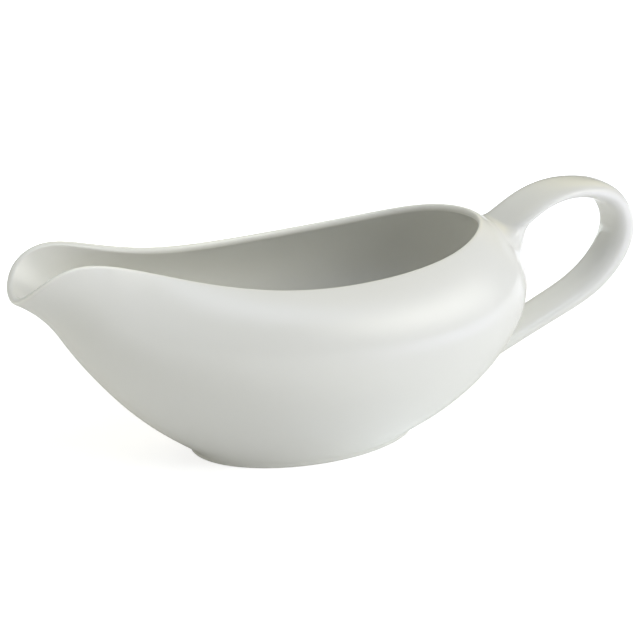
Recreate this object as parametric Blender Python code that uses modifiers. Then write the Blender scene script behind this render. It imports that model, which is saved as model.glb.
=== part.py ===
"""Porcelain gravy boat: oval bowl with a pulled pouring lip, a low oval foot
ring and a strap handle luted to the wall with slip.

Metres, +Z up.  The boat stands on z = 0, the pouring lip points to -X, the
handle to +X, and y = 0 is the mirror plane.  The origin is the middle of the
boat's overall length, on the table.
"""
import math

import bmesh
import bpy
import numpy as np
from mathutils import Vector
from mathutils.bvhtree import BVHTree

MM = 0.001

# ---------------------------------------------------------------- dimensions
# all in millimetres, measured from the centre of the foot

WALL = 2.8                   # fired wall thickness
RIM_ROUND = 0.42 * WALL      # bevel width along the rim
GAP = 0.3                    # clearance kept between neighbouring pieces

FOOT_A, FOOT_B = 41.4, 27.7  # half axes of the oval foot at the table
FOOT_HEIGHT = 2.2            # how far the foot ring lifts the bowl
FOOT_WIDTH = 4.0             # radial width of the foot ring
FOOT_EDGE = 0.5              # rounding of the ring's edges

BASE_OVERHANG = 0.3          # how far the bowl's base passes the foot ring
BASE_Z = FOOT_HEIGHT + GAP
BASE_RINGS = (0.30, 0.62)    # mesh rings in the flat base, as parts of its size

RIM_X, RIM_A, RIM_B, RIM_Z = -15.0, 87.0, 29.5, 70.7  # plain oval rim
# offsets from that oval where the lip is pulled out, at angles in degrees
# round the boat: 0 at the handle, 180 at the tip of the lip
RIM_ANGLES = (0, 30, 60, 90, 115, 135, 150, 162, 172, 180)
RIM_DX = (-3.5, -1.0, 4.5, 1.0, 3.0, 4.0, 1.0, -2.5, -4.5, -5.0)
RIM_DY = (0.0, 4.0, 5.5, 2.0, -5.0, -5.5, 0.5, 4.0, 3.0, 0.0)
RIM_DZ = (0.5, -0.5, -5.0, -6.0, -0.5, 6.0, 8.0, 3.0, -3.0, -5.0)

# how far the wall bulges outside the straight line from foot to rim: a row
# for each angle, a column for each level between foot (0) and rim (1), where
# the bulge is nil
BELLY_ANGLES = (0, 45, 90, 135, 180)
BELLY_LEVELS = (0.0, 0.2, 0.45, 0.7, 0.9, 1.0)
BELLY = (
    (16.5, 26.5, 24.0, 12.0),   # under the handle
    (14.0, 20.5, 18.5, 9.0),
    (7.5, 15.0, 14.5, 8.0),     # broad side
    (7.0, 12.5, 11.0, 3.5),
    (4.5, 4.5, 0.5, -2.5),      # under the lip
)

# strap handle: centre line (x, z) in the y = 0 plane, from the upper root to
# the lower root, then sizes at even steps along it
HANDLE_LINE = np.array((
    (76.5, 63.0), (84.5, 68.0), (93.5, 72.5), (102.5, 74.5),
    (112.5, 74.0), (123.0, 69.5), (128.5, 57.0), (123.0, 45.0),
    (113.0, 36.5), (101.0, 31.0), (88.5, 26.0), (75.0, 23.0)))
HANDLE_HALF_WIDTH = (10.5, 9.5, 8.2, 8.2, 8.0)
HANDLE_HALF_THICKNESS = (3.6, 2.8, 4.1, 3.2, 3.5)
WIDTH_POWER, THICKNESS_POWER = 0.78, 0.90  # below 1 squares up the oval section

# where the strap is cut at the wall, and the slip under the cut
ROOT_CLEAR = 1.5     # least length of strap left outside the slip
JOINTS = (
    dict(name="upper",
         search=np.linspace(0.04, 0.20, 33),  # places tried, as parts of the strap's length
         into=(-0.85, 0, -0.52),              # direction of the cut, into the wall
         thickness=3.0,                       # slip under the strap
         flare=3.0,                           # how far the slip spreads on the wall
         under=2.6),                          # times that far on the loop's inner side
    dict(name="lower", search=np.linspace(0.97, 0.82, 31), into=(-1.0, 0, 0.0),
         thickness=1.6, flare=1.6, under=1.0),
)

# mesh density
AROUND, UP = 64, 13
STRAP_AROUND, STRAP_ALONG = 20, 34
CAP_SCALES = (0.66, 0.33)    # rings between a loft's last ring and its hub
FILLET_STEPS = 4


# ------------------------------------------------------------------- splines
def spline(xs, ys, at, ends="knot"):
    """Cubic spline through (xs, ys).  ends: 'flat' has zero slope at both
    ends, 'free' has zero curvature, 'knot' is the not-a-knot spline."""
    xs, ys, at = (np.asarray(values, float) for values in (xs, ys, at))
    count = len(xs)
    step = np.diff(xs)
    slope = np.diff(ys, axis=0) / (step if ys.ndim == 1 else step[:, None])

    # solve for the second derivative at each knot
    system = np.zeros((count, count))
    target = np.zeros((count,) + ys.shape[1:])
    for i in range(1, count - 1):
        system[i, i - 1:i + 2] = step[i - 1], 2 * (step[i - 1] + step[i]), step[i]
        target[i] = 6 * (slope[i] - slope[i - 1])
    if ends == "flat":
        system[0, :2] = 2 * step[0], step[0]
        target[0] = 6 * slope[0]
        system[-1, -2:] = step[-1], 2 * step[-1]
        target[-1] = -6 * slope[-1]
    elif ends == "free":
        system[0, 0] = system[-1, -1] = 1
    else:
        system[0, :3] = step[1], -(step[0] + step[1]), step[0]
        system[-1, -3:] = step[-1], -(step[-2] + step[-1]), step[-2]
    bend = np.linalg.solve(system, target)

    k = np.clip(np.searchsorted(xs, at) - 1, 0, count - 2)
    after, before, span = xs[k + 1] - at, at - xs[k], step[k]
    if ys.ndim > 1:
        after, before, span = after[..., None], before[..., None], span[..., None]
    return ((bend[k] * after ** 3 + bend[k + 1] * before ** 3) / (6 * span)
            + (ys[k] / span - bend[k] * span / 6) * after
            + (ys[k + 1] / span - bend[k + 1] * span / 6) * before)


# ------------------------------------------------------------ material and mesh
def material(name, color, roughness, coat=0.0):
    mat = bpy.data.materials.new(name)
    mat.use_nodes = True
    shader = mat.node_tree.nodes["Principled BSDF"]
    shader.inputs["Base Color"].default_value = (*color, 1)
    shader.inputs["Roughness"].default_value = roughness
    shader.inputs["Coat Weight"].default_value = coat
    mat.diffuse_color = (*color, 1)
    return mat


def tube(rings, start_hub, end_hub=None):
    """Points and faces of a tube through equal rings, closed by a fan to a
    hub point at its start and, if one is given, at its end."""
    count = len(rings[0])
    points = [point for ring in rings for point in ring]
    last = len(points) - count
    pairs = [(i, (i + 1) % count) for i in range(count)]
    faces = [(low + i, low + j, low + count + j, low + count + i)
             for low in range(0, last, count) for i, j in pairs]
    faces += [(len(points), j, i) for i, j in pairs]
    points.append(start_hub)
    if end_hub is not None:
        faces += [(last + i, last + j, len(points)) for i, j in pairs]
        points.append(end_hub)
    return points, faces


def add_mesh(name, points, faces, mat, closed=True, sharp=40):
    """Smooth-shaded object with edges above `sharp` degrees kept sharp."""
    mesh = bpy.data.meshes.new(name)
    mesh.from_pydata([tuple(float(c) * MM for c in point) for point in points], [], faces)
    if closed:
        bm = bmesh.new()
        bm.from_mesh(mesh)
        bmesh.ops.recalc_face_normals(bm, faces=bm.faces)
        bm.to_mesh(mesh)
        bm.free()
    mesh.materials.append(mat)
    mesh.shade_smooth()
    mesh.set_sharp_from_angle(angle=math.radians(sharp))
    ob = bpy.data.objects.new(name, mesh)
    parts.objects.link(ob)
    return ob


def add_bevel(ob, name, width, segments):
    bevel = ob.modifiers.new(name, "BEVEL")
    bevel.width = width * MM
    bevel.segments = segments
    bevel.limit_method = "ANGLE"
    bevel.angle_limit = math.radians(50)


# ------------------------------------------------------- outer face of the bowl
def rim_line(angles):
    """Outer edge of the rim; the -Y half mirrors the +Y half."""
    past = angles > math.pi
    half = np.where(past, 2 * math.pi - angles, angles)
    side = np.where(past, -1.0, 1.0)
    knots = np.radians(RIM_ANGLES)
    return np.stack([RIM_X + RIM_A * np.cos(half) + spline(knots, RIM_DX, half, "flat"),
                     side * (RIM_B * np.sin(half) + spline(knots, RIM_DY, half, "free")),
                     RIM_Z + spline(knots, RIM_DZ, half, "flat")], -1)


def base_line(angles):
    """Outer edge of the bowl's flat base."""
    return np.stack([(FOOT_A + BASE_OVERHANG) * np.cos(angles),
                     (FOOT_B + BASE_OVERHANG) * np.sin(angles),
                     np.full(np.shape(angles), BASE_Z)], -1)


def wall_grid(angles, levels):
    """Outer face, level 0 at the foot and 1 at the rim: [angle, level, xyz]."""
    half = np.where(angles > math.pi, 2 * math.pi - angles, angles)
    bulge = spline(np.radians(BELLY_ANGLES), BELLY, half, "flat")
    bulge = np.pad(bulge, ((0, 0), (1, 1)))
    bulge = spline(BELLY_LEVELS, bulge.T, levels).T
    # the bulge points between the radius and the square to the foot's oval
    out = np.stack([np.cos(angles) / FOOT_A ** 0.5, np.sin(angles) / FOOT_B ** 0.5], -1)
    out /= np.linalg.norm(out, axis=1)[:, None]
    grid = (base_line(angles)[:, None] * (1 - levels)[None, :, None]
            + rim_line(angles)[:, None] * levels[None, :, None])
    grid[..., :2] += out[:, None] * bulge[..., None]
    return grid


round_angles = np.linspace(0, 2 * math.pi, AROUND, endpoint=False)
wall_rings = wall_grid(round_angles, np.linspace(0, 1, UP + 1)).swapaxes(0, 1)
base_rings = [base_line(round_angles) * (scale, scale, 1) for scale in BASE_RINGS]
bowl_points, bowl_faces = tube([*base_rings, *wall_rings], (0, 0, BASE_Z))
wall_tree = BVHTree.FromPolygons([Vector(p) for p in bowl_points], bowl_faces, epsilon=0.0)


def build_bowl():
    """Open outer face, thickened inward, with its rim rounded over."""
    body = add_mesh("body", bowl_points, bowl_faces, glaze, closed=False, sharp=22)
    shell = body.modifiers.new("wall", "SOLIDIFY")
    shell.thickness = WALL * MM
    shell.offset = -1
    shell.use_even_offset = True
    add_bevel(body, "rim", RIM_ROUND, segments=3)


def build_foot():
    """Two ovals filled as a flat outline, extruded and edge-rounded."""
    outline = bpy.data.curves.new("foot_ring", "CURVE")
    outline.dimensions = "2D"
    outline.fill_mode = "BOTH"
    outline.extrude = FOOT_HEIGHT / 2 * MM
    for inset in (0.0, FOOT_WIDTH):
        oval = outline.splines.new("POLY")
        oval.points.add(AROUND - 1)
        for point, angle in zip(oval.points, round_angles):
            point.co = ((FOOT_A - inset) * math.cos(angle) * MM,
                        (FOOT_B - inset) * math.sin(angle) * MM, 0, 1)
        oval.use_cyclic_u = True
    outline.materials.append(bisque)
    foot = bpy.data.objects.new("foot_ring", outline)
    foot.location.z = FOOT_HEIGHT / 2 * MM
    parts.objects.link(foot)
    # join the filled caps to the sides so that the edges can be bevelled
    weld = foot.modifiers.new("caps", "WELD")
    weld.merge_threshold = 0.00001
    add_bevel(foot, "edges", FOOT_EDGE, segments=2)


# --------------------------------------------------------------- strap handle
def distances(line):
    """Distance along a line to each of its points."""
    return np.r_[0, np.cumsum(np.linalg.norm(np.diff(line, axis=0), axis=1))]


line_knots = distances(HANDLE_LINE)
line_knots /= line_knots[-1]
fractions = np.linspace(0, 1, 601)
travel = distances(spline(line_knots, HANDLE_LINE, fractions))
strap_length = travel[-1]


def strap_centre(fraction):
    return spline(line_knots, HANDLE_LINE, [fraction])[0]


def strap_size(sizes, fraction):
    return float(spline(np.linspace(0, 1, len(sizes)), sizes, [fraction])[0])


def strap_ring(distance, grow=0.0, under=1.0):
    """Ring of the strap at a distance along its centre line, grown all
    round, and `under` times as much on the inner side of the loop."""
    fraction = np.interp(distance, travel, fractions)
    centre = strap_centre(fraction)
    along = strap_centre(fraction + 0.002) - strap_centre(fraction - 0.002)
    along /= np.linalg.norm(along)
    width = strap_size(HANDLE_HALF_WIDTH, fraction) + grow
    thick = strap_size(HANDLE_HALF_THICKNESS, fraction) + grow

    turn = np.linspace(0, 2 * math.pi, STRAP_AROUND, endpoint=False)
    cos, sin = np.cos(turn), np.sin(turn)
    across = width * np.sign(cos) * np.abs(cos) ** WIDTH_POWER
    outward = thick * np.sign(sin) * np.abs(sin) ** THICKNESS_POWER
    outward[outward < 0] *= (thick + grow * (under - 1)) / thick
    return np.stack([centre[0] - outward * along[1], across,
                     centre[1] + outward * along[0]], -1)


def stand_off(point, direction, clear):
    """Point clear of the bowl's wall, where the line through point meets it."""
    hit, normal, _, _ = wall_tree.ray_cast(Vector(point) - 30 * direction, direction, 60)
    if normal.dot(direction) > 0:
        normal = -normal
    return np.array(hit + normal * clear)


class Joint:
    """One end of the strap, cut to the wall's shape."""

    def __init__(self, name, search, into, thickness, flare, under):
        self.name = name
        self.into = Vector(into).normalized()
        self.thickness, self.flare, self.under = thickness, flare, under
        self.distance = self.first_clear(search * strap_length)

    def first_clear(self, order):
        """First place along the strap with its whole ring clear of the slip."""
        for distance in order:
            nearest = min(
                (Vector(p) - Vector(stand_off(p, self.into, self.thickness))).dot(-self.into)
                for p in strap_ring(distance))
            if nearest > ROOT_CLEAR:
                return distance
        return order[-1]

    def ring(self, clear, grow=0.0, scale=1.0):
        """Ring of the strap moved onto the wall, standing clear of it."""
        ring = strap_ring(self.distance, grow, self.under)
        middle = ring.mean(0)
        return np.array([stand_off(middle + (p - middle) * scale, self.into, clear)
                         for p in ring])

    def cap(self, clear, grow=0.0):
        """Rings that close a cut end, shrinking to its middle."""
        return [self.ring(clear, grow, scale) for scale in CAP_SCALES]

    def hub(self, clear):
        return stand_off(strap_ring(self.distance).mean(0), self.into, clear)


def build_handle(upper, lower):
    rings = upper.cap(upper.thickness)[::-1]
    rings.append(upper.ring(upper.thickness))
    rings += [strap_ring(distance)
              for distance in np.linspace(upper.distance, lower.distance, STRAP_ALONG)]
    rings.append(lower.ring(lower.thickness))
    rings += lower.cap(lower.thickness)
    points, faces = tube(rings, upper.hub(upper.thickness), lower.hub(lower.thickness))
    add_mesh("handle", points, faces, glaze)


def build_fillet(joint):
    """Slip between strap and wall, with a quarter-round hollow side."""
    top = joint.thickness - GAP
    rings = joint.cap(top)[::-1]
    for k in range(FILLET_STEPS + 1):
        angle = k / FILLET_STEPS * math.pi / 2
        rings.append(joint.ring(top + (GAP - top) * math.sin(angle),
                                grow=joint.flare * (1 - math.cos(angle))))
    rings += joint.cap(GAP, joint.flare)
    points, faces = tube(rings, joint.hub(top), joint.hub(GAP))
    add_mesh(f"{joint.name}_luting_fillet", points, faces, slip)


def centre_lengthwise():
    """Move every piece so that x = 0 is the middle of the overall length."""
    bpy.context.view_layer.update()
    graph = bpy.context.evaluated_depsgraph_get()
    xs = []
    for ob in parts.objects:
        evaluated = ob.evaluated_get(graph)
        mesh = evaluated.to_mesh()
        xs += [(evaluated.matrix_world @ vertex.co).x for vertex in mesh.vertices]
        evaluated.to_mesh_clear()
    for ob in parts.objects:
        ob.location.x -= (min(xs) + max(xs)) / 2


# ---------------------------------------------------------------------- scene
for old in list(bpy.data.objects):
    bpy.data.objects.remove(old, do_unlink=True)
parts = bpy.data.collections.new("gravy_boat")
bpy.context.scene.collection.children.link(parts)

WHITE = (0.86, 0.86, 0.84)
glaze = material("white_glaze", color=WHITE, roughness=0.12, coat=0.6)
bisque = material("bare_foot", color=(0.80, 0.78, 0.73), roughness=0.7)
slip = material("glazed_slip", color=WHITE, roughness=0.14, coat=0.6)

build_bowl()
build_foot()
joints = [Joint(**joint) for joint in JOINTS]
build_handle(*joints)
for joint in joints:
    build_fillet(joint)
centre_lengthwise()
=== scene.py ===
"""Porcelain gravy boat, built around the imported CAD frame.

All shapes are computed in millimetres from the centre of the foot: z up from
the table, the handle towards +x, the pouring end towards -x, the front at -y.
Pieces: body, foot ring, strap handle and the two fillets that join the handle
to the body.  Angles round the boat start at the handle and run towards +y.
"""

import math

import bmesh
import bpy
import numpy as np
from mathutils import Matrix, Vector
from mathutils.bvhtree import BVHTree


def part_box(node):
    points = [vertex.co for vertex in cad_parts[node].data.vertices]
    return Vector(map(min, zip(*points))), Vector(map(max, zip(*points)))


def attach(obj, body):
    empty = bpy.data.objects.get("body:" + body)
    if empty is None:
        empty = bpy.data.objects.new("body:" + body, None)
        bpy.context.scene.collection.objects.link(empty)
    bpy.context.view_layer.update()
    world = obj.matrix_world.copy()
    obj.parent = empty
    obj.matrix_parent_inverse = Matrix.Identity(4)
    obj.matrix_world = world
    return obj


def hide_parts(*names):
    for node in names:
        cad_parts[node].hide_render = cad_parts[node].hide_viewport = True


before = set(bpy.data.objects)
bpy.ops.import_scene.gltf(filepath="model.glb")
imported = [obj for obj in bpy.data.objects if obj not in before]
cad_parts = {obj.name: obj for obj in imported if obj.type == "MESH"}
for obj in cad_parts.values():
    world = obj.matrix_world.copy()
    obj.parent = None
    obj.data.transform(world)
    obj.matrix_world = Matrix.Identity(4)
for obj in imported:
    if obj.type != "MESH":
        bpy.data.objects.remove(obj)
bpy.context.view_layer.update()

METRES_PER_MM = 0.001
ring_low, ring_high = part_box("foot_ring")
FOOT_X = (ring_low.x + ring_high.x) / 2 / METRES_PER_MM    # centre of the foot in the frame

# ---------------------------------------------------------- mesh resolution
AROUND = 384           # points round the boat
WALL_STEPS = 96         # steps from foot to rim
STRAP_RINGS = 220
SECTION = 72                             # points round the strap
RIM_STEPS = 21

# ------------------------------------------------------------ dimensions, mm
FOOT_A, FOOT_B = 41.3, 27.7              # half length and half width of the foot
FOOT_HEIGHT, FOOT_WIDTH = 2.2, 4.0
WALL_OVERHANG = 0.3                      # wall stands out past the foot outline

RIM_X, RIM_A, RIM_B, RIM_Z = -15.0, 87.2, 29.4, 70.3       # centre, half axes, height
# departures of the rim from that ellipse, at angles in degrees from the handle
RIM_ANGLES = (0, 30, 60, 90, 115, 135, 150, 162, 172, 180)
RIM_DX = (-3.8, -1.0, 4.5, 1.0, 2.8, 4.1, 1.3, -1.8, -3.1, -3.4)
RIM_DY = (0.0, 4.0, 5.4, 2.0, -5.2, -5.2, 0.6, 3.9, 2.8, 0.0)
RIM_DZ = (1.0, -0.4, -4.8, -5.7, -0.5, 6.0, 8.3, 3.3, -2.6, -4.7)

# outward bulge of the wall: a row per angle, a column per level (0 foot, 1 rim)
BELLY_ANGLES = (0, 45, 90, 135, 180)
BELLY_LEVELS = (0.0, 0.2, 0.45, 0.7, 0.9, 1.0)
BELLY = (
    (0.0, 15.9, 25.8, 23.8, 11.8, 0.0),
    (0.0, 13.4, 20.1, 18.8, 8.8, 0.0),
    (0.0, 7.2, 14.8, 14.6, 7.9, 0.0),
    (0.0, 6.3, 12.1, 10.8, 3.6, 0.0),
    (0.0, 4.7, 4.3, 0.5, -2.4, 0.0),
)

THICKNESS_LEVELS = (0.0, 0.35, 0.8, 1.0)
THICKNESS = (3.6, 3.3, 2.9, 2.6)
RIM_RADIUS = 1.3                         # half the wall at the rim
RIM_OUTER_RADIUS = 0.8                   # the rim rounds tighter outside than inside
INNER_WALL_END = 0.17                    # level where the inner wall turns into the floor
BOWL_FLOOR_Z = FOOT_HEIGHT + 3.4
BOWL_FLOOR_SIZE = 0.50                   # floor outline against the foot outline
BOWL_FLOOR_DIP = 0.25
UNDERSIDE_RISE = 0.9

BARE_SHADED_HEIGHT = 0.28                       # the foot is unglazed below this and coloured darker there as painted shade along its base

# centre line of the strap as (x, z), from the upper to the lower joint
HANDLE_LINE = np.array((
    (76.5, 62.8), (84.7, 67.9), (93.4, 72.4), (102.7, 74.5), (112.6, 73.9), (122.9, 69.6),
    (128.4, 57.1), (122.9, 44.9), (113.0, 36.7), (101.2, 31.2), (88.4, 26.0), (75.0, 20.7)))
# half sizes of its section at equal steps along the line
HALF_WIDTH = (10.5, 9.5, 8.2, 8.2, 8.0)
HALF_THICK = (3.6, 2.8, 4.4, 3.5, 3.6)
# joint: search start along the line, direction into the wall, run of the fillet
# at the strap's edges, outside the handle loop and inside it, and its hug of the wall
UPPER = dict(at=0.14, inward=-1, side=7.5, outside=2.2, inside=15.0, hug=0.50)
LOWER = dict(at=0.86, inward=1, side=1.5, outside=1.5, inside=1.5, hug=0.60)
HIDDEN_DEPTH = 1.3                       # fillet ends lie this deep in the wall


# -------------------------------------------------------------------- curves
def spline(knots, values, at, ends="knot"):
    """Cubic spline; ends 'flat' (zero slope), 'free' (zero curvature) or 'knot'."""
    knots, values, at = (np.asarray(v, float) for v in (knots, values, at))
    count = len(knots)
    gap = np.diff(knots)
    slope = np.diff(values, axis=0) / (gap if values.ndim == 1 else gap[:, None])
    matrix = np.zeros((count, count))
    right = np.zeros((count,) + values.shape[1:])
    for i in range(1, count - 1):
        matrix[i, i - 1:i + 2] = gap[i - 1], 2 * (gap[i - 1] + gap[i]), gap[i]
        right[i] = 6 * (slope[i] - slope[i - 1])
    if ends == "flat":
        matrix[0, :2] = 2 * gap[0], gap[0]
        right[0] = 6 * slope[0]
        matrix[-1, -2:] = gap[-1], 2 * gap[-1]
        right[-1] = -6 * slope[-1]
    elif ends == "free":
        matrix[0, 0] = matrix[-1, -1] = 1
    else:
        matrix[0, :3] = gap[1], -(gap[0] + gap[1]), gap[0]
        matrix[-1, -3:] = gap[-1], -(gap[-2] + gap[-1]), gap[-2]
    bend = np.linalg.solve(matrix, right)
    k = np.clip(np.searchsorted(knots, at) - 1, 0, count - 2)
    after, before, width = knots[k + 1] - at, at - knots[k], gap[k]
    if values.ndim > 1:
        after, before, width = after[..., None], before[..., None], width[..., None]
    return (bend[k] * after ** 3 + bend[k + 1] * before ** 3) / (6 * width) \
        + (values[k] / width - bend[k] * width / 6) * after \
        + (values[k + 1] / width - bend[k + 1] * width / 6) * before


def bezier(at, start, start_pull, end_pull, end):
    rest = 1 - at
    return start * rest ** 3 + start_pull * (3 * at * rest ** 2) \
        + end_pull * (3 * at ** 2 * rest) + end * at ** 3


def unit(vectors):
    return vectors / np.linalg.norm(vectors, axis=-1, keepdims=True)


def soften(ring):
    """Average each entry of a closed ring with its neighbours."""
    return (np.roll(ring, 1, 0) + 2 * ring + np.roll(ring, -1, 0)) / 4


# -------------------------------------------------------- outer wall surface
def wall(angle, level):
    """Outer wall at matching arrays of angle and level (0 foot, 1 rim)."""
    angle, level = np.broadcast_arrays(np.asarray(angle, float), np.asarray(level, float))
    turn = np.mod(angle, 2 * math.pi)
    folded = np.where(turn > math.pi, 2 * math.pi - turn, turn)   # both halves are alike
    side = np.where(turn > math.pi, -1.0, 1.0)
    knots = np.radians(RIM_ANGLES)
    rim = np.stack([RIM_X + RIM_A * np.cos(folded) + spline(knots, RIM_DX, folded, "flat"),
                    side * (RIM_B * np.sin(folded) + spline(knots, RIM_DY, folded, "free")),
                    RIM_Z + spline(knots, RIM_DZ, folded, "flat")], -1)
    foot = np.stack([(FOOT_A + WALL_OVERHANG) * np.cos(angle),
                     (FOOT_B + WALL_OVERHANG) * np.sin(angle),
                     np.full(angle.shape, FOOT_HEIGHT)], -1)
    # bulge: spline round the boat, then spline from foot to rim
    belly = np.array(BELLY)
    weights = np.eye(len(BELLY_LEVELS))
    bulge = sum(spline(np.radians(BELLY_ANGLES), belly[:, i], folded, "flat")
                * spline(BELLY_LEVELS, weights[i], level)
                for i in range(len(BELLY_LEVELS)))
    outward = unit(np.stack([np.cos(angle) / FOOT_A ** 0.5, np.sin(angle) / FOOT_B ** 0.5,
                             np.zeros(angle.shape)], -1))
    return foot * (1 - level)[..., None] + rim * level[..., None] + outward * bulge[..., None]


def wall_slopes(angle, level, step):
    """Differences of the wall across one step either way, in angle and in level."""
    return (wall(angle + step, level) - wall(angle - step, level),
            wall(angle, level + step) - wall(angle, level - step))


def wall_frame(angle, level):
    """Point, outward normal and upward tangent of the outer wall."""
    around, upward = wall_slopes(angle, level, step=1e-4)
    return wall(angle, level), unit(np.cross(around, upward)), unit(upward)


angles = np.linspace(0, 2 * math.pi, AROUND, endpoint=False)
levels = np.linspace(0, 1, WALL_STEPS + 1) ** 1.25        # closer together near the foot
wall_points, wall_normals, wall_ups = wall_frame(angles[:, None], levels[None])


def ellipse(half_x, half_y, z):
    return np.stack([half_x * np.cos(angles), half_y * np.sin(angles), np.full(AROUND, z)], -1)


# --------------------------------------------------------------- mesh helpers
def grid_faces(rows, columns):
    """Quads between closed rings laid out one after another."""
    row = np.arange(rows - 1)[:, None] * columns
    i = np.arange(columns)[None]
    j = (i + 1) % columns
    return np.stack([row + i, row + j, row + columns + j, row + columns + i],
                    -1).reshape(-1, 4)


def make(name, points, faces):
    points = (points + [FOOT_X, 0, 0]) * METRES_PER_MM
    mesh = bpy.data.meshes.new(name)
    mesh.from_pydata(points.tolist(), [], [tuple(int(i) for i in face) for face in faces])
    editable = bmesh.new()
    editable.from_mesh(mesh)
    bmesh.ops.recalc_face_normals(editable, faces=editable.faces)
    editable.to_mesh(mesh)
    editable.free()
    mesh.shade_smooth()
    made = bpy.data.objects.new(name, mesh)
    bpy.context.scene.collection.objects.link(made)
    return made


def loft(name, rings, start_hub, end_hub):
    """Closed mesh through rings; each end is closed by a fan to its hub point."""
    count = len(rings[0])
    last = (len(rings) - 1) * count
    hub = last + count
    faces = [tuple(face) for face in grid_faces(len(rings), count)]
    faces += [((i + 1) % count, i, hub) for i in range(count)]
    faces += [(last + i, last + (i + 1) % count, hub + 1) for i in range(count)]
    return make(name, np.vstack([*rings, start_hub, end_hub]), faces)


# ----------------------------------------------------------------------- body
def rim_rings():
    """Rounded rim, from the outer edge over the crest to the inner wall."""
    edge, normal, upward = wall_points[:, -1], wall_normals[:, -1], wall_ups[:, -1]
    apex = edge - RIM_OUTER_RADIUS * normal
    rings = []
    for k in range(1, RIM_STEPS):
        turn = math.pi * k / RIM_STEPS
        wide, power = 2 * RIM_RADIUS - RIM_OUTER_RADIUS, 1.0
        if turn < math.pi / 2:
            wide, power = RIM_OUTER_RADIUS, 0.85
        rings.append(apex + wide * normal * math.cos(turn)
                     + upward * RIM_RADIUS * math.sin(turn) ** power)
    return rings


def inside_rings():
    """Inner wall, the soft curve at its bottom and the floor of the bowl."""
    inner_levels = np.linspace(1.0, INNER_WALL_END, int(WALL_STEPS * 0.8))
    points, normals, _ = wall_frame(angles[:, None], inner_levels[None])
    thickness = spline(THICKNESS_LEVELS, THICKNESS, inner_levels, "free")
    grid = points - normals * thickness[None, :, None]
    inner = [grid[:, k] for k in range(len(inner_levels))]

    start = inner[-1]
    slope = unit(inner[-1] - inner[-2])
    land = ellipse(BOWL_FLOOR_SIZE * FOOT_A, BOWL_FLOOR_SIZE * FOOT_B, BOWL_FLOOR_Z)
    inward = unit(land * (-1, -1, 0))
    reach = np.linalg.norm(land - start, axis=1)[:, None]
    curve = []
    for a in np.linspace(0, 1, 26)[1:]:      # Hermite curve, level where it lands
        curve.append(start * (2 * a ** 3 - 3 * a ** 2 + 1)
                     + slope * reach * (a ** 3 - 2 * a ** 2 + a) * 1.1
                     + land * (-2 * a ** 3 + 3 * a ** 2)
                     + inward * reach * (a ** 3 - a ** 2) * 0.9)
    floor = [land * (s, s, 1) - (0, 0, BOWL_FLOOR_DIP * (1 - s ** 2))
             for s in np.linspace(1, 0, 12)[1:-1]]
    return inner + curve + floor


def underside_rings():
    """Shallow dome inside the foot ring, then the flat seat on the ring."""
    outline = wall_points[:, 0]
    dome = [outline * (s, s, 1) + (0, 0, UNDERSIDE_RISE * (1 - (s / 0.86) ** 2))
            for s in np.linspace(0.85, 0, 14)[:-1]]
    seat = [outline * (s, s, 1) for s in (0.985, 0.95, 0.91, 0.88)]
    return dome[::-1] + seat[::-1]


def build_body():
    below = underside_rings() + [wall_points[:, k] for k in range(WALL_STEPS + 1)]
    rim = rim_rings()
    made = loft("body_porcelain", below + rim + inside_rings(),
                start_hub=(0, 0, FOOT_HEIGHT + UNDERSIDE_RISE),
                end_hub=(0, 0, BOWL_FLOOR_Z - BOWL_FLOOR_DIP))
    made.data.set_sharp_from_angle(angle=math.radians(60))
    # painted highlight along the rim: 1 on the crest of the rim, fading on both sides
    crest_at, crest_spread = 74, 36          # degrees over the rim
    crest = np.zeros(len(made.data.vertices))
    for k in range(len(rim)):
        first = (len(below) + k) * AROUND
        over = 180 * (k + 1) / RIM_STEPS
        crest[first:first + AROUND] = math.exp(-((over - crest_at) / crest_spread) ** 2)
    attribute = made.data.attributes.new("crest", "FLOAT", "POINT")
    attribute.data.foreach_set("value", crest)
    return made


# ------------------------------------------------------------------ foot ring
def oval(offset, z):
    """Oval parallel to the foot's outline, offset outward."""
    outward = unit(np.stack([np.cos(angles) / FOOT_A, np.sin(angles) / FOOT_B,
                             np.zeros(AROUND)], -1))
    return ellipse(FOOT_A, FOOT_B, 0.0) + outward * offset + (0, 0, z)


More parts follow.
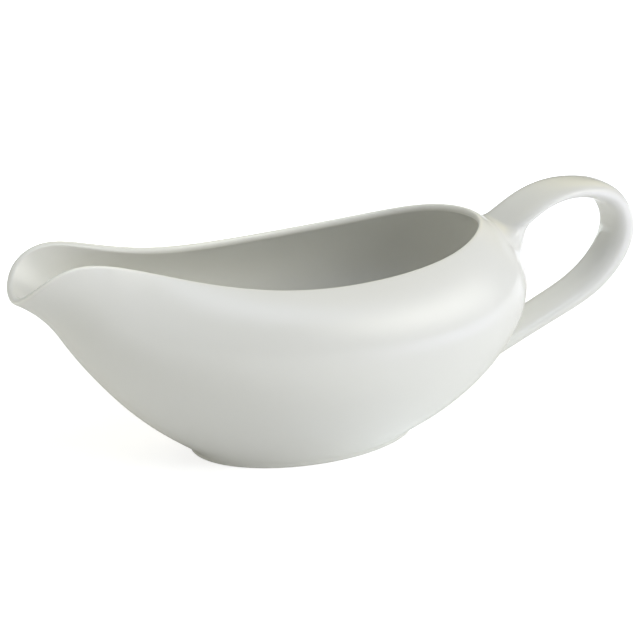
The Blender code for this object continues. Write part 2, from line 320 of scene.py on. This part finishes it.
def build_foot():
    inner_round, outer_round = 0.8, 0.63     # radii of the bottom edges
    outer_inset = 0.12                       # top of the outer rounding
    meet_level = 0.048                       # where the hollow meets the wall
    rings = []
    for a in np.radians(np.linspace(0, 90, 7)):
        rings.append(oval(-FOOT_WIDTH + inner_round - inner_round * math.cos(a),
                          inner_round - inner_round * math.sin(a)))
    rings += [oval(offset, 0.0) for offset in
              np.linspace(-FOOT_WIDTH + inner_round, -outer_inset - outer_round, 6)[1:-1]]
    for a in np.radians(np.linspace(0, 90, 8)):
        rings.append(oval(-outer_inset - outer_round + outer_round * math.sin(a),
                          outer_round - outer_round * math.cos(a)))
    # hollow between the ring's side and the wall
    side_top = oval(-0.02, 1.05)
    meet, normal, upward = wall_frame(angles, np.full(AROUND, meet_level))
    for a in np.linspace(0, 1, 18):
        rings.append(bezier(a, side_top, side_top + (0, 0, 0.95),
                            meet - upward * 2.0, meet + normal * 0.006))
    # hugs the wall, then slips under it: (rise in level, height off the wall)
    for rise, lift in ((0.004, 0.006), (0.009, -0.004), (0.014, -0.03),
                       (0.020, -0.08), (0.026, -0.20)):
        point, normal, _ = wall_frame(angles, np.full(AROUND, meet_level + rise))
        rings.append(point + normal * lift)
    # top, hidden in the body, and down the inner side: (offset, height over the foot)
    for offset, height in ((-0.9, 0.35), (-FOOT_WIDTH + 0.4, 0.35), (-FOOT_WIDTH - 0.55, 0.12),
                           (-FOOT_WIDTH - 0.18, -0.45), (-FOOT_WIDTH - 0.02, -0.9)):
        rings.append(oval(offset, FOOT_HEIGHT + height))
    i = np.arange(AROUND)
    j = (i + 1) % AROUND
    last = (len(rings) - 1) * AROUND
    closing = np.stack([last + i, last + j, j, i], -1)
    made = make("foot_ring_porcelain", np.concatenate(rings),
                np.concatenate([grid_faces(len(rings), AROUND), closing]))
    made.data.set_sharp_from_angle(angle=math.radians(70))
    return made


# --------------------------------------------------------------- strap handle
chords = np.linalg.norm(np.diff(HANDLE_LINE, axis=0), axis=1)
line_fractions = np.r_[0, np.cumsum(chords)]
line_fractions /= line_fractions[-1]
section_angles = np.linspace(0, 2 * math.pi, SECTION, endpoint=False)
across = np.cos(section_angles)
outside = np.sin(section_angles)             # above 0 outside the handle loop


def centre_line(at):
    """Centre line at fractions of its length, carried straight on past both ends."""
    points = spline(line_fractions, HANDLE_LINE, np.clip(at, 0, 1))
    ends = spline(line_fractions, HANDLE_LINE, [0, 1e-3, 1 - 1e-3, 1])
    start_slope, end_slope = (ends[1] - ends[0]) / 1e-3, (ends[3] - ends[2]) / 1e-3
    return points + np.where(at < 0, at, 0)[:, None] * start_slope \
        + np.where(at > 1, at - 1, 0)[:, None] * end_slope


def strap(at):
    """Skin of the strap: one point per section angle, each at its own fraction."""
    centre = centre_line(at)
    along = unit(centre_line(at + 1e-3) - centre_line(at - 1e-3))
    stations = np.linspace(0, 1, len(HALF_WIDTH))
    wide = spline(stations, HALF_WIDTH, np.clip(at, 0, 1))
    thick = spline(stations, HALF_THICK, np.clip(at, 0, 1))
    x = wide * np.sign(across) * np.abs(across) ** 0.78
    y = thick * np.sign(outside) * np.abs(outside) ** 0.90
    return np.stack([centre[:, 0] - y * along[:, 1], x, centre[:, 1] + y * along[:, 0]], -1)


def strap_direction(at, sign):
    return unit(strap(at + sign * 2e-3) - strap(at - sign * 2e-3))


# coarse copy of the outer wall, to find starting points on it
coarse_rows = np.r_[np.arange(0, WALL_STEPS, 3), WALL_STEPS]
coarse_points = np.concatenate([wall_points[:, k] for k in coarse_rows])
coarse_tree = BVHTree.FromPolygons(
    [tuple(p) for p in coarse_points],
    [tuple(int(i) for i in face) for face in grid_faces(len(coarse_rows), AROUND)])


def on_wall(points, directions):
    """Where rays from the points meet the outer wall: exact points and normals."""
    back_off, ray_length = 20, 60
    rays = unit(np.broadcast_to(np.asarray(directions, float), points.shape))
    origins = points - back_off * rays
    starts = []
    for point, origin, ray in zip(points, origins, rays):
        hit = coarse_tree.ray_cast(Vector(origin), Vector(ray), ray_length)[0] \
            or coarse_tree.find_nearest(Vector(point))[0]
        hit = np.array(hit)
        k = int(((coarse_points - hit) ** 2).sum(1).argmin())
        starts.append((angles[k % AROUND], levels[coarse_rows[k // AROUND]],
                       float((hit - origin) @ ray)))
    angle, level, distance = np.array(starts).T
    small = 1e-5
    for _ in range(12):                      # Newton on wall = origin + distance * ray
        miss = wall(angle, level) - (origins + distance[:, None] * rays)
        around, upward = wall_slopes(angle, level, small)
        jacobian = np.stack([around / (2 * small), upward / (2 * small), -rays], -1)
        step = np.linalg.solve(jacobian, miss[..., None])[..., 0]
        angle = angle - np.clip(step[:, 0], -.3, .3)
        level = level - np.clip(step[:, 1], -.2, .2)
        distance = distance - step[:, 2]
    return wall_frame(angle, np.minimum(level, 1.0))[:2]


def inside_wall(point):
    nearest, normal, _, _ = coarse_tree.find_nearest(Vector(point))
    if normal.dot(Vector((nearest.x * 0.35, nearest.y, 0.0))) < 0:
        normal = -normal
    return (Vector(point) - nearest).dot(normal) < 0


def wall_crossing(at, inward):
    """Fraction where each line of the strap enters the wall, by halving."""
    free = np.full(SECTION, at)
    buried = free + inward * 0.22
    for _ in range(26):
        middle = (free + buried) / 2
        inside = np.array([inside_wall(point) for point in strap(middle)])
        buried = np.where(inside, middle, buried)
        free = np.where(inside, free, middle)
    return (free + buried) / 2


def joint(spec):
    """Fillet between strap and wall: both contact lines are kept at an equal
    run from the line where the bare strap would cut the wall.  Returns its
    rings, its hub in the wall and the fractions where the bare strap begins."""
    sign = spec["inward"]
    cut = wall_crossing(spec["at"], sign)
    seam, normal = on_wall(strap(cut), strap_direction(cut, sign))
    facing = np.where(outside > 0, np.abs(outside) ** 1.1, outside ** 2)
    run = np.where(outside > 0, spec["outside"], spec["inside"]) * facing \
        + spec["side"] * (1 - facing)
    for _ in range(6):                       # no sudden change of run round the strap
        run = soften(run)
    strap_start = cut - sign * run / chords.sum()
    ring = strap(strap_start)
    ahead = strap_direction(strap_start, sign)

    # direction away from the strap along the wall
    middle = seam.mean(0)
    away = unit(np.cross(unit(np.roll(seam, -1, 0) - np.roll(seam, 1, 0)), normal))
    if ((seam - middle) * away).sum() < 0:
        away = -away
    for _ in range(4):
        away = unit(soften(away))

    def beyond(extra):
        """Contact line on the wall, moved outward by extra."""
        return on_wall(seam + away * (run + extra)[:, None], -normal)

    end, end_normal = beyond(0.0)
    back = seam - end
    back -= end_normal * (back * end_normal).sum(-1, keepdims=True)
    back = unit(back)
    reach = run[:, None]
    steps = 28
    visible = []
    for k in range(steps + 1):
        eased = 0.5 - 0.5 * math.cos(math.pi * k / steps)
        visible.append(bezier(eased, end, end + back * reach * spec["hug"],
                              ring + ahead * reach * 0.60, ring))

    # rings inside the wall, from the hub out past the contact line
    mean_inward = -normal.mean(0)
    hidden = []
    for scale in (0.3, 0.6, 0.95):
        line = middle + (seam + away * reach - middle) * scale
        point, point_normal = on_wall(line, mean_inward)
        hidden.append(point - point_normal * HIDDEN_DEPTH)
    for extra, depth in ((0.9, 0.7), (0.9, 0.06), (0.4, 0.012)):
        point, point_normal = beyond(extra)
        hidden.append(point - point_normal * depth)
    hub, hub_normal = on_wall(middle[None], mean_inward)
    return hidden + visible, hub[0] - hub_normal[0] * HIDDEN_DEPTH, strap_start


def sharpen_rings(made, rings):
    """Ends of a piece that are hidden in its neighbour stay crisp."""
    for edge in made.data.edges:
        first, second = (vertex // SECTION for vertex in edge.vertices)
        if first == second and first in rings:
            edge.use_edge_sharp = True


def build_fillet(name, rings, hub, strap_end):
    made = loft(name, rings, hub, strap_end.mean(0))
    sharpen_rings(made, (len(rings) - 1,))
    return made


def build_handle():
    """Strap and its two fillets."""
    upper_rings, upper_hub, start = joint(UPPER)
    lower_rings, lower_hub, end = joint(LOWER)
    straps = [strap(start * (1 - g) + end * g) for g in np.linspace(0, 1, STRAP_RINGS)]
    made = loft("handle_strap", straps, straps[0].mean(0), straps[-1].mean(0))
    sharpen_rings(made, (0, len(straps) - 1))
    return (made,
            build_fillet("upper_luting_fillet_slip", upper_rings, upper_hub, straps[0]),
            build_fillet("lower_luting_fillet_slip", lower_rings, lower_hub, straps[-1]))


body = build_body()
foot = build_foot()
handle, upper, lower = build_handle()


# --------------------------------------------------------------- node helpers
def feed(tree, target, inputs):
    """Set inputs of a node: sockets are linked, anything else is a value."""
    for key, value in inputs.items():
        if isinstance(value, bpy.types.NodeSocket):
            tree.links.new(value, target.inputs[key])
        else:
            target.inputs[key].default_value = value


def node(tree, kind, inputs=None, **settings):
    made = tree.nodes.new("ShaderNode" + kind)
    for key, value in settings.items():
        setattr(made, key, value)
    feed(tree, made, inputs or {})
    return made


def maths(tree, operation, *values):
    return node(tree, "Math", dict(enumerate(values)), operation=operation).outputs[0]


def noise(tree, vector, scale, detail):
    inputs = {"Vector": vector, "Scale": scale, "Detail": detail}
    return node(tree, "TexNoise", inputs).outputs["Fac"]


def mix_colour(tree, factor, first, second, blend="MIX"):
    # sockets 0, 6 and 7 are the factor and the two colours; output 2 is the colour
    return node(tree, "Mix", {0: factor, 6: first, 7: second},
                data_type="RGBA", blend_type=blend).outputs[2]


def map_range(tree, value, source=(0.0, 1.0), result=(0.0, 1.0), **settings):
    return node(tree, "MapRange", {
        "Value": value, "From Min": source[0], "From Max": source[1],
        "To Min": result[0], "To Max": result[1]}, **settings).outputs["Result"]


def bump(tree, height, strength, distance, **normal):
    return node(tree, "Bump", {"Height": height, "Strength": strength,
                               "Distance": distance, **normal}).outputs["Normal"]


def new_material(name):
    """Material's node tree, shader and object coordinates."""
    made = bpy.data.materials.new(name)
    made.use_nodes = True
    return made, made.node_tree, made.node_tree.nodes["Principled BSDF"]


# ------------------------------------------------------------------ materials
GLAZE_TINT = (0.80, 0.80, 0.775)
GLAZE_ROUGHNESS = 0.10


def glaze_colour(*scales):
    return (*(tint * scale for tint, scale in zip(GLAZE_TINT, scales)), 1)


def porcelain(name, painted_hollow_shade):
    """White body under a clear glossy glaze: faint cloudy tone, a very gentle
    unevenness of the glaze, tiny variations of gloss, sparse fine specks,
    painted shade in hollows and a painted highlight on the crest of the rim."""
    made, tree, shader = new_material(name)
    coords = node(tree, "TexCoord").outputs["Object"]
    # cloudy tone of the body under the glaze
    colour = mix_colour(tree, noise(tree, coords, scale=22.0, detail=3.0),
                        glaze_colour(0.985, 0.985, 0.975), glaze_colour(1, 1, 1))
    # sparse iron specks, very faint
    speck = node(tree, "TexVoronoi", {"Vector": coords, "Scale": 260.0, "Randomness": 1.0})
    shade = map_range(tree, speck.outputs["Distance"], source=(0.03, 0.07), result=(0.94, 1.0))
    rare = maths(tree, "GREATER_THAN", speck.outputs["Color"], 0.93)
    mark = node(tree, "Mix", {0: rare, 2: 1.0, 3: shade}, data_type="FLOAT").outputs[0]
    colour = mix_colour(tree, 1.0, colour, mark, blend="MULTIPLY")
    # painted shade: hollows are coloured darker and a touch greener, standing in for the olive
    # shade that falls in them
    pointiness = node(tree, "NewGeometry").outputs["Pointiness"]
    hollow = map_range(tree, pointiness, source=(0.50, 0.42), result=(0.0, painted_hollow_shade))
    colour = mix_colour(tree, hollow, colour, glaze_colour(0.90, 0.925, 0.88))
    # painted highlight: the crest of the rim is coloured brighter, standing in for the thin
    # bright line of light along it
    crest = node(tree, "Attribute", attribute_name="crest").outputs["Fac"]
    colour = mix_colour(tree, crest, colour, glaze_colour(1.17, 1.17, 1.15))
    gloss = map_range(tree, noise(tree, coords, scale=60.0, detail=4.0),
                      result=(GLAZE_ROUGHNESS * 0.85, GLAZE_ROUGHNESS * 1.25))
    # uneven glaze: slow waves, then a fine ripple
    waves = bump(tree, noise(tree, coords, scale=18.0, detail=1.0),
                 strength=0.25, distance=0.0006)
    ripple = bump(tree, noise(tree, coords, scale=420.0, detail=2.0),
                  strength=0.02, distance=0.0002, Normal=waves)
    feed(tree, shader, {
        "Base Color": colour, "Roughness": 0.45, "Specular IOR Level": 0.12,
        "Coat Weight": 0.75, "Coat IOR": 1.5, "Coat Roughness": gloss, "Coat Normal": ripple})
    return made


def bisque_and_painted_shade(name):
    """Bare fired porcelain of the wiped foot: matt and finely granular; its darker, warm
    colour is painted shade, the dark line of shadow along the foot's base.
    """
    made, tree, shader = new_material(name)
    coords = node(tree, "TexCoord").outputs["Object"]
    colour = mix_colour(tree, noise(tree, coords, scale=45.0, detail=3.0),
                        (0.66, 0.63, 0.57, 1), (0.77, 0.75, 0.70, 1))
    grain = bump(tree, noise(tree, coords, scale=900.0, detail=5.0),
                 strength=0.5, distance=0.0001)
    feed(tree, shader, {"Base Color": colour, "Roughness": 0.75, "Normal": grain})
    return made


# the second argument sets how much painted shade the hollows get; the fillets get more of it
glaze = porcelain("white_glaze", painted_hollow_shade=0.10)
slip = porcelain("glazed_slip", painted_hollow_shade=0.15)
# the bare foot's darker colour is painted shade along the base
bare = bisque_and_painted_shade("bare_foot")
for piece, material in ((body, glaze), (handle, glaze), (upper, slip), (lower, slip),
                        (foot, glaze), (foot, bare)):
    piece.data.materials.append(material)
for face in foot.data.polygons:
    top = max(foot.data.vertices[v].co.z for v in face.vertices)
    if top < BARE_SHADED_HEIGHT * METRES_PER_MM:
        face.material_index = 1
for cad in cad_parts.values():
    for material_slot in cad.material_slots:
        material_slot.material = bare if cad.name == "foot_ring" else glaze
    if not cad.material_slots:
        cad.data.materials.append(glaze)

for piece, cad_name, slot_name in (
        (body, "body", "white_glaze"),
        (foot, "foot_ring", "bare_foot"),
        (handle, "handle", "white_glaze"),
        (upper, "upper_luting_fillet", "glazed_slip"),
        (lower, "lower_luting_fillet", "glazed_slip")):
    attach(piece, "root")
    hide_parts(cad_name)

# ---------------------------------------------------------------------- light
# A white light tent: one large soft box in front on the handle's side, softer
# fill from the other walls and the roof.  Azimuth is 0 in front, 90 at the handle.
# azimuth, half width, soft edge, elevation, half height, soft edge (degrees),
# strength, tint
TENT = (
    (49, 24, 6, 19, 23, 6, 0.7, (1.02, 1.02, 0.98)),          # key box
    (45, 22, 22, 30, 15, 15, 3.85, (1.02, 1.02, 0.94)),       # key spill
    (10, 35, 30, 62, 14, 14, 2.4, (0.91, 0.97, 1.13)),        # front roof
    (135, 22, 22, 30, 15, 15, 0.95, (1.20, 1.10, 0.60)),      # back, handle side
    (180, 22, 22, 30, 15, 15, 1.0, (0.98, 1.02, 1.00)),       # back wall
    (190, 50, 30, 62, 14, 14, 1.0, (1.08, 1.06, 0.92)),       # back roof
    (270, 22, 22, 0, 15, 15, 2.9, (1.03, 1.03, 0.92)),        # pouring-end wall
    (270, 30, 30, 45, 20, 20, 0.46, (1.10, 1.04, 0.90)),      # pouring end, high
    (0, 179, 1, 90, 15, 15, 1.02, (0.88, 0.96, 1.13)),        # zenith
    (75, 30, 22, 62, 14, 14, 0.43, (1.25, 1.10, 0.60)),       # handle-side roof
)
# glow of the lit floor sheet on the object, far from and close to the foot:
# azimuth, half width, soft edge (degrees), strength, tint
FAR_GLOW = (
    (45, 22, 22, 1.65, (0.89, 0.89, 1.24)),
    (180, 22, 22, 2.2, (0.96, 1.04, 1.06)),
    (112, 30, 22, 0.65, (0.92, 0.96, 1.13)),
)
NEAR_GLOW = ((20, 40, 40, 0.25, (0.93, 1.01, 1.08)),)
GLOW_CHANGE = (0.15, 0.30)        # metres out, where near glow gives way to far
FLOOR_WHITE = 0.75                # paper white of the floor as the camera sees it


def soft_range(tree, value, none_at, full_at):
    return map_range(tree, value, source=(none_at, full_at), interpolation_type="SMOOTHSTEP")


def soft_band(tree, distance, half, soft):
    """1 within half the band's width, 0 beyond, in degrees from its middle."""
    return soft_range(tree, maths(tree, "ABSOLUTE", distance),
                      math.radians(half + soft), math.radians(half - soft))


def sector(tree, azimuth, centre, half, soft):
    """Smooth mask of an azimuth range, in degrees."""
    turn = maths(tree, "SUBTRACT", azimuth, math.radians(centre))
    return soft_band(tree, maths(tree, "WRAP", turn, math.pi, -math.pi), half, soft)


def azimuth_and_z(tree, vector):
    x, y, z = node(tree, "SeparateXYZ", {0: vector}).outputs
    return maths(tree, "ARCTAN2", x, maths(tree, "MULTIPLY", y, -1.0)), z


def add_light(tree, total, mask, strength, tint):
    light = node(tree, "VectorMath", operation="SCALE",
                 inputs={0: tint, "Scale": maths(tree, "MULTIPLY", mask, strength)}).outputs[0]
    if total is None:
        return light
    return node(tree, "VectorMath", {0: total, 1: light}, operation="ADD").outputs[0]


def build_tent():
    world = bpy.data.worlds.new("studio")
    bpy.context.scene.world = world
    world.use_nodes = True
    tree = world.node_tree
    azimuth, height = azimuth_and_z(tree, node(tree, "TexCoord").outputs["Generated"])
    elevation = maths(tree, "ARCSINE", height)
    total = None
    for turn, half_width, side_soft, rise, half_height, rise_soft, strength, tint in TENT:
        above = maths(tree, "SUBTRACT", elevation, math.radians(rise))
        mask = maths(tree, "MULTIPLY", sector(tree, azimuth, turn, half_width, side_soft),
                     soft_band(tree, above, half_height, rise_soft))
        total = add_light(tree, total, mask, strength, tint)
    feed(tree, tree.nodes["Background"], {"Color": total, "Strength": 1.0})


def floor_material():
    """Pale paper that glows towards the object by direction and distance."""
    made, tree, shader = new_material("pale_floor")
    place = node(tree, "NewGeometry").outputs["Position"]
    azimuth, _ = azimuth_and_z(tree, place)
    away = node(tree, "VectorMath", {0: place}, operation="LENGTH").outputs["Value"]
    far = soft_range(tree, away, *GLOW_CHANGE)
    near = maths(tree, "SUBTRACT", 1.0, far)
    total = None
    for zone, patches in ((far, FAR_GLOW), (near, NEAR_GLOW)):
        for turn, half_width, soft, strength, tint in patches:
            mask = maths(tree, "MULTIPLY", sector(tree, azimuth, turn, half_width, soft), zone)
            total = add_light(tree, total, mask, strength, tint)
    seen = node(tree, "LightPath").outputs["Is Camera Ray"]
    total = add_light(tree, total, seen, FLOOR_WHITE, (1.0, 1.0, 1.0))
    paper = mix_colour(tree, noise(tree, place, scale=3.0, detail=2.0),
                       (0.895, 0.895, 0.895, 1), (0.905, 0.905, 0.905, 1))
    colour = mix_colour(tree, seen, paper, (0.52, 0.52, 0.52, 1))
    feed(tree, shader, {
        "Base Color": colour, "Roughness": 0.9, "Specular IOR Level": 0.0,
        "Emission Color": total, "Emission Strength": 1.0})
    return made


# just below the foot, so that the two never coincide
bpy.ops.mesh.primitive_plane_add(size=12.0, location=(0, 0, -0.00005))
ground = bpy.context.object
ground.name = "floor"
build_tent()
ground.data.materials.append(floor_material())

# --------------------------------------------------------------------- camera
CAMERA_AZIMUTH, CAMERA_ELEVATION = math.radians(-28.0), math.radians(19.89)
CAMERA_DISTANCE = 1.0             # metres
TARGET_X, TARGET_Z = 6.98, 41.12  # from the centre of the foot


def build_camera():
    target = Vector(((FOOT_X + TARGET_X) * METRES_PER_MM, 0, TARGET_Z * METRES_PER_MM))
    back = Vector((math.sin(CAMERA_AZIMUTH) * math.cos(CAMERA_ELEVATION),
                   -math.cos(CAMERA_AZIMUTH) * math.cos(CAMERA_ELEVATION),
                   math.sin(CAMERA_ELEVATION)))
    lens = bpy.data.cameras.new("camera")
    lens.sensor_width = 36.0
    lens.lens = 163.125
    lens.clip_start = 0.05
    camera = bpy.data.objects.new("camera", lens)
    bpy.context.scene.collection.objects.link(camera)
    camera.location = target + back * CAMERA_DISTANCE
    camera.rotation_euler = back.to_track_quat("Z", "Y").to_euler()
    bpy.context.scene.camera = camera


build_camera()
view = bpy.context.scene.view_settings
view.view_transform = "Standard"
view.look = "None"
view.exposure = 0.0
view.gamma = 1.0
